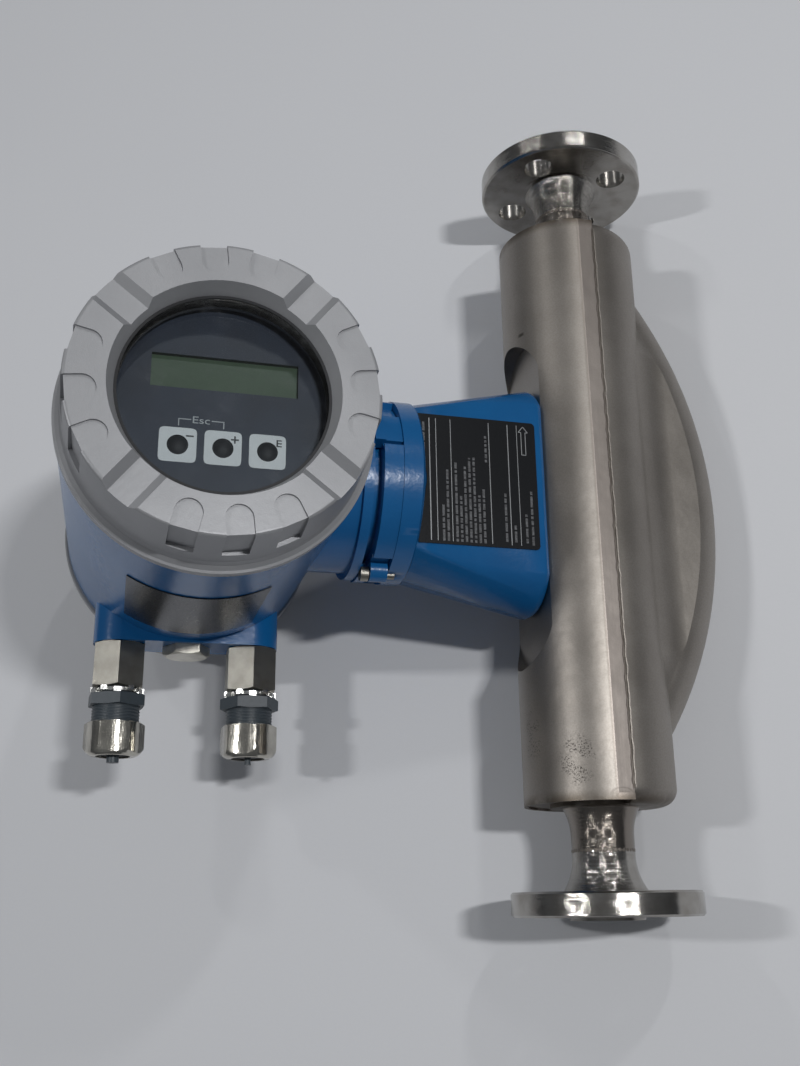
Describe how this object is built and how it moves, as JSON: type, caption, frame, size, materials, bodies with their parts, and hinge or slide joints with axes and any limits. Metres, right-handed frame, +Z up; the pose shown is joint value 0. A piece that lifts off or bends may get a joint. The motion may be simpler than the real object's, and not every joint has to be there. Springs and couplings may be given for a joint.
{
  "type": "coriolis flow meter",
  "caption": "Compact Coriolis mass flow meter: flanged sensor with a slim bulged body and a swivelling display transmitter on a short neck, lying on its side.",
  "frame": {"origin": "centre of the bounding box's footprint, on the floor the meter lies on", "axes": "+Y along the flow from inlet to outlet, +Z up; the transmitter lies towards -X with its display facing up and towards +X"},
  "size_m": [0.347, 0.404, 0.2525],
  "materials": {
    "satin_steel": "satin ground stainless steel",
    "turned_steel": "fine turned stainless steel",
    "coil_brass": "wound and turned",
    "magnet_steel": "polished",
    "ceramic": "glazed ceramic",
    "black_rubber": "matt",
    "blue_paint": "glossy powder coat",
    "black_plate": "satin black printed plate, blank",
    "nickel": "nickel plated",
    "washer_steel": "bright pressed steel",
    "grey_paint": "satin powder coat",
    "glass": "clear",
    "black_plastic": "matt moulded",
    "navy_foil": "smooth printed foil",
    "circuit_green": "solder mask",
    "lcd_olive": "liquid crystal display",
    "terminal_plastic": "moulded",
    "grey_plastic": "moulded polyamide"
  },
  "bodies": {
    "sensor": {"neck_half_shell": "satin_steel", "bulge_half_shell": "satin_steel", "inlet_manifold": "satin_steel", "outlet_manifold": "satin_steel", "inlet_flange": "turned_steel", "outlet_flange": "turned_steel", "front_measuring_tube": "turned_steel", "rear_measuring_tube": "turned_steel", "inlet_brace": "satin_steel", "outlet_brace": "satin_steel", "drive_coil": "coil_brass", "drive_magnet": "magnet_steel", "inlet_pickoff_coil": "coil_brass", "inlet_pickoff_magnet": "magnet_steel", "outlet_pickoff_coil": "coil_brass", "outlet_pickoff_magnet": "magnet_steel", "tube_thermometer": "ceramic", "feedthrough_stub": "satin_steel", "feedthrough_header": "coil_brass", "sensor_cable": "black_rubber", "neck_hood": "blue_paint", "nameplate": "black_plate", "bayonet_catch": "blue_paint", "catch_screws": "nickel", "neck_seal": "black_rubber"},
    "housing": {"housing_body": "blue_paint", "label_plate": "black_plate", "board_rack": "black_plastic", "power_board": "circuit_green", "amplifier_board": "circuit_green", "io_board": "circuit_green", "display_frame": "black_plastic", "display_foil": "navy_foil", "display_board": "circuit_green", "lcd_module": "lcd_olive", "terminal_block": "terminal_plastic", "terminal_screws": "nickel", "blanking_plug": "nickel", "left_adapter": "nickel", "left_lock_washer": "washer_steel", "left_gland_body": "grey_plastic", "right_adapter": "nickel", "right_lock_washer": "washer_steel", "right_gland_body": "grey_plastic"},
    "front_seal_ring": {"front_cover_seal": "black_rubber"},
    "front_cover_assembly": {"front_cover": "grey_paint", "window_glass": "glass", "window_gasket": "black_rubber", "window_retainer": "turned_steel"},
    "rear_seal_ring": {"rear_cover_seal": "black_rubber"},
    "rear_cover_assembly": {"rear_cover": "grey_paint"},
    "left_seal_insert": {"left_gland_seal": "black_rubber", "left_sealing_pin": "grey_plastic"},
    "left_nut_body": {"left_dome_nut": "nickel"},
    "right_seal_insert": {"right_gland_seal": "black_rubber", "right_sealing_pin": "grey_plastic"},
    "right_nut_body": {"right_dome_nut": "nickel"},
    "minus_key_body": {"minus_key": "black_rubber"},
    "plus_key_body": {"plus_key": "black_rubber"},
    "enter_key_body": {"enter_key": "black_rubber"}
  },
  "joints": [
    {"name": "housing_swivel", "type": "hinge", "parent": "sensor", "child": "housing", "pos_m": [0.00465, 0, 0.09296], "axis": [-0.8975, 0, 0.441], "range_deg": [-180, 180]},
    {"name": "front_cover_lift", "type": "slide", "parent": "housing", "child": "front_seal_ring", "axis": [0.441, 0, 0.8975], "range_m": [0, 0.012]},
    {"name": "front_cover_turn", "type": "hinge", "parent": "front_seal_ring", "child": "front_cover_assembly", "pos_m": [-0.03501, 0, 0.20159], "axis": [0.441, 0, 0.8975], "range_deg": [0, 1440]},
    {"name": "rear_cover_lift", "type": "slide", "parent": "housing", "child": "rear_seal_ring", "axis": [-0.441, 0, -0.8975], "range_m": [0, 0.012]},
    {"name": "rear_cover_turn", "type": "hinge", "parent": "rear_seal_ring", "child": "rear_cover_assembly", "pos_m": [-0.11439, 0, 0.04004], "axis": [-0.441, 0, -0.8975], "range_deg": [0, 1440]},
    {"name": "left_nut_lift", "type": "slide", "parent": "housing", "child": "left_seal_insert", "axis": [0, -1, 0], "range_m": [0, 0.006]},
    {"name": "left_nut_turn", "type": "hinge", "parent": "left_seal_insert", "child": "left_nut_body", "pos_m": [-0.13202, -0.1062, 0.0799], "axis": [0, -1, 0], "range_deg": [0, 1440]},
    {"name": "right_nut_lift", "type": "slide", "parent": "housing", "child": "right_seal_insert", "axis": [0, -1, 0], "range_m": [0, 0.006]},
    {"name": "right_nut_turn", "type": "hinge", "parent": "right_seal_insert", "child": "right_nut_body", "pos_m": [-0.07207, -0.1062, 0.05044], "axis": [0, -1, 0], "range_deg": [0, 1440]},
    {"name": "minus_key_press", "type": "slide", "parent": "housing", "child": "minus_key_body", "axis": [-0.441, 0, -0.8975], "range_m": [0, 0.0008], "stiffness_N_per_m": 1500, "springref_m": -0.0002},
    {"name": "plus_key_press", "type": "slide", "parent": "housing", "child": "plus_key_body", "axis": [-0.441, 0, -0.8975], "range_m": [0, 0.0008], "stiffness_N_per_m": 1500, "springref_m": -0.0002},
    {"name": "enter_key_press", "type": "slide", "parent": "housing", "child": "enter_key_body", "axis": [-0.441, 0, -0.8975], "range_m": [0, 0.0008], "stiffness_N_per_m": 1500, "springref_m": -0.0002}
  ],
  "couplings": [
    {"joint": "front_cover_lift", "follows": "front_cover_turn", "m_per_rad": 0.00047746},
    {"joint": "rear_cover_lift", "follows": "rear_cover_turn", "m_per_rad": 0.00047746},
    {"joint": "left_nut_lift", "follows": "left_nut_turn", "m_per_rad": 0.00023873},
    {"joint": "right_nut_lift", "follows": "right_nut_turn", "m_per_rad": 0.00023873}
  ]
}
